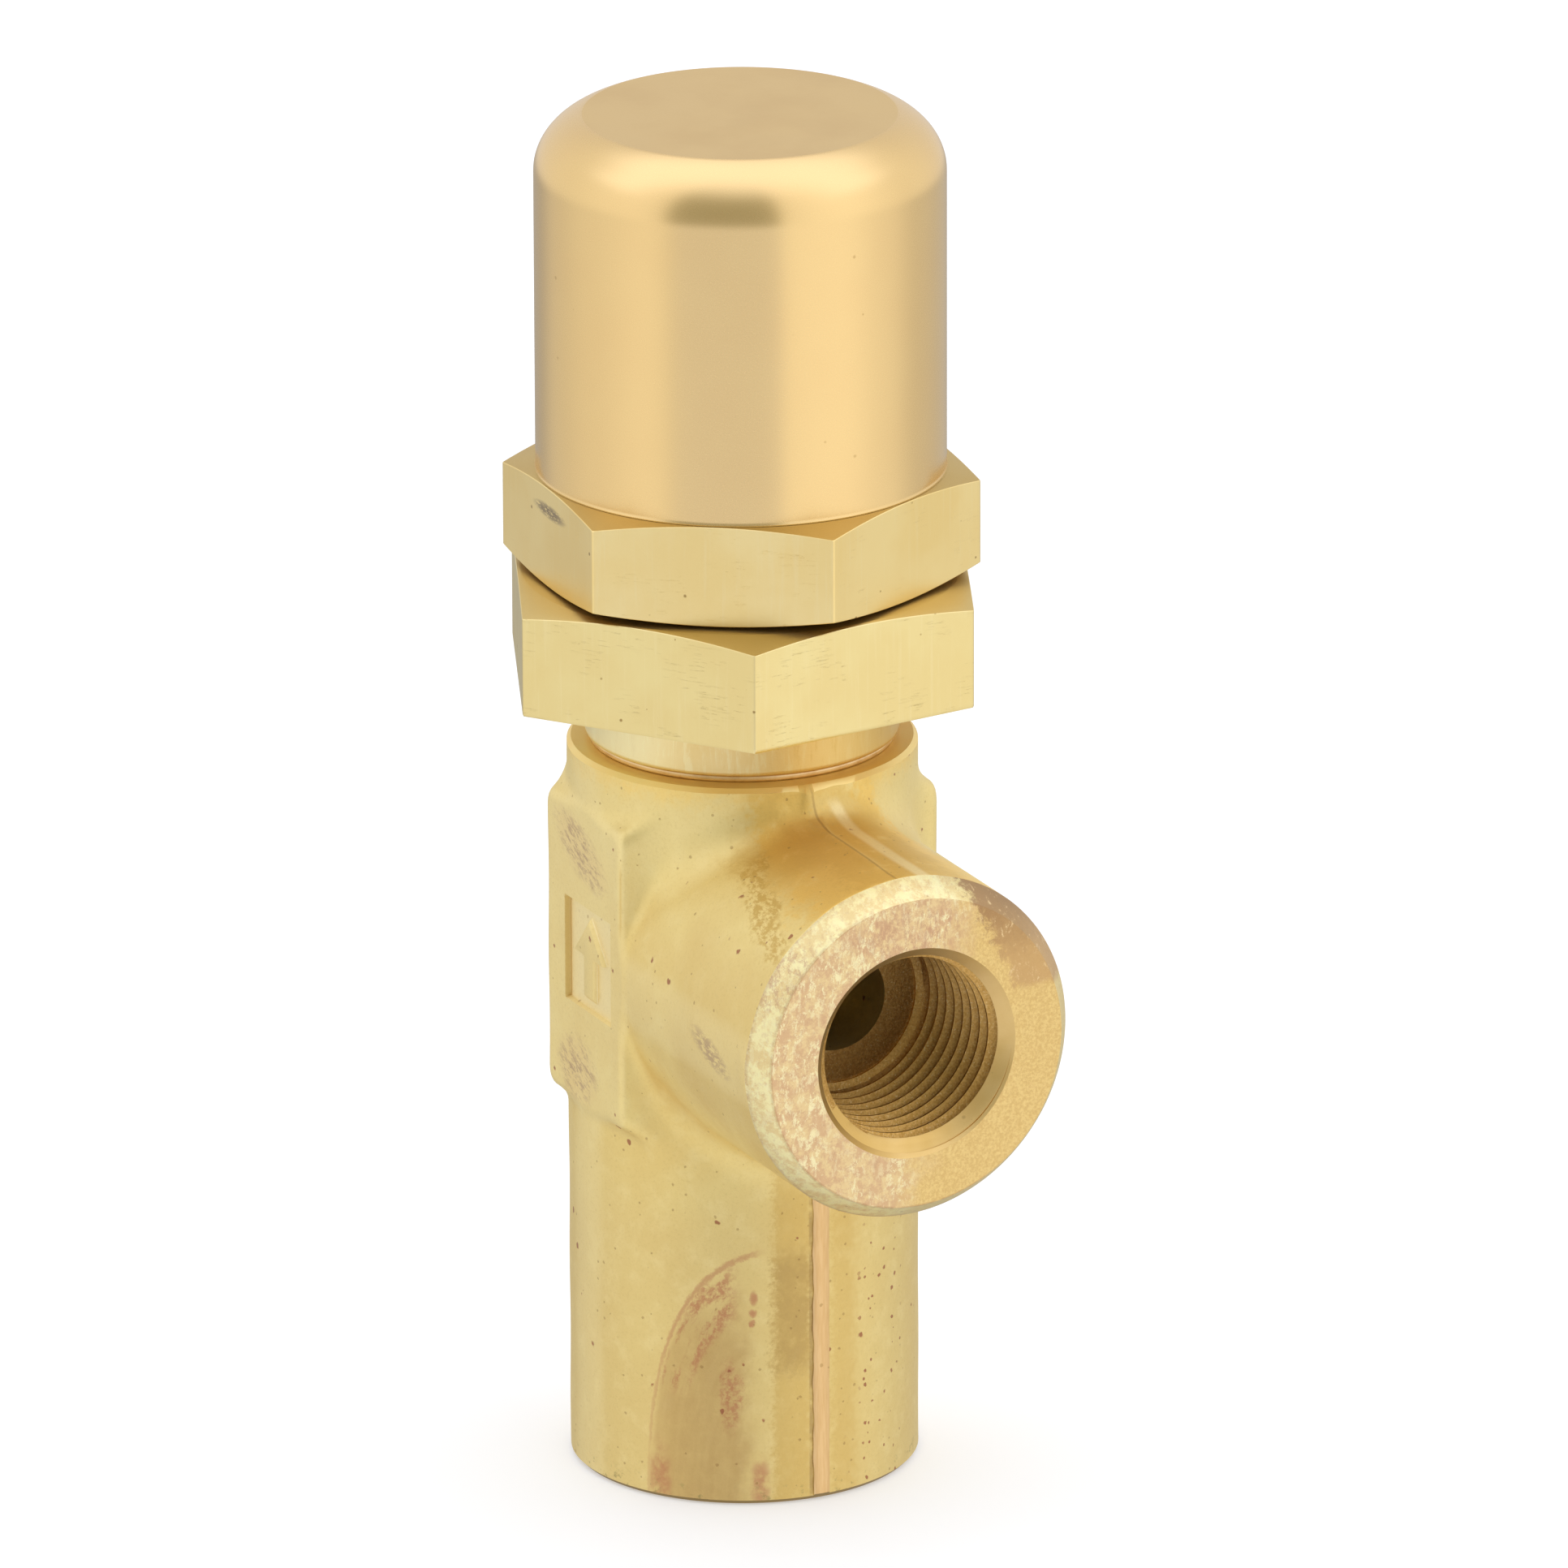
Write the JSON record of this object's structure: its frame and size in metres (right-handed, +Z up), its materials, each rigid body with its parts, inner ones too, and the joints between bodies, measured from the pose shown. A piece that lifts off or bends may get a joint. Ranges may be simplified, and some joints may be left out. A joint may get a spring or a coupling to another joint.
{
  "type": "pressure relief valve",
  "caption": "Brass spring-loaded pressure relief valve with a bottom inlet, a side outlet, a hexagonal bonnet and a tall screw cap over its adjusting screw.",
  "frame": {"origin": "centre of the inlet port's face at the foot of the body", "axes": "+Z up the valve's axis to the cap, +X out of the side outlet"},
  "size_m": [0.0623, 0.051, 0.1394],
  "materials": {
    "forged_brass": "forged, tarnished",
    "bar_brass": "drawn bar, satin",
    "cap_brass": "fine turned",
    "turned_brass": "turned",
    "copper": "soft copper, dull",
    "steel": "turned stainless steel",
    "spring_steel": "drawn spring wire",
    "seat_plastic": "smooth, white",
    "gasket_fibre": "matt fibre"
  },
  "bodies": {
    "root": {"body": "forged_brass", "bonnet": "bar_brass", "bonnet_gasket": "copper", "main_spring": "spring_steel"},
    "piston": {"valve_piston": "turned_brass", "seat_disc": "seat_plastic", "disc_screw": "steel"},
    "spring_button": {"spring_button": "steel"},
    "adjusting_screw": {"adjusting_screw": "steel"},
    "locknut_washer": {"locknut_washer": "copper"},
    "locknut": {"locknut": "turned_brass"},
    "cap_gasket": {"cap_gasket": "gasket_fibre"},
    "cap": {"cap": "cap_brass"}
  },
  "joints": [
    {"name": "piston_lift", "type": "slide", "parent": "root", "child": "piston", "axis": [0, 0, 1], "range_m": [0, 0.003], "stiffness_N_per_m": 2500, "springref_m": -0.008, "deforming": ["main_spring"]},
    {"name": "screw_travel", "type": "slide", "parent": "root", "child": "spring_button", "axis": [0, 0, 1], "range_m": [-0.00762, 0], "deforming": ["main_spring"]},
    {"name": "screw_turn", "type": "hinge", "parent": "spring_button", "child": "adjusting_screw", "pos_m": [0, 0, 0.11], "axis": [0, 0, 1], "range_deg": [-2165, 5]},
    {"name": "locknut_rise", "type": "slide", "parent": "root", "child": "locknut_washer", "axis": [0, 0, 1], "range_m": [0, 0.00381]},
    {"name": "locknut_turn", "type": "hinge", "parent": "locknut_washer", "child": "locknut", "pos_m": [0, 0, 0.12], "axis": [0, 0, 1], "range_deg": [-5, 1085]},
    {"name": "cap_rise", "type": "slide", "parent": "root", "child": "cap_gasket", "axis": [0, 0, 1], "range_m": [0, 0.04233]},
    {"name": "cap_turn", "type": "hinge", "parent": "cap_gasket", "child": "cap", "pos_m": [0, 0, 0.12], "axis": [0, 0, 1], "range_deg": [-5, 7210]}
  ],
  "couplings": [
    {"joint": "screw_turn", "follows": "screw_travel", "rad_per_m": 4947.4},
    {"joint": "locknut_turn", "follows": "locknut_rise", "rad_per_m": 4947.4},
    {"joint": "cap_turn", "follows": "cap_rise", "rad_per_m": 2968.4}
  ]
}
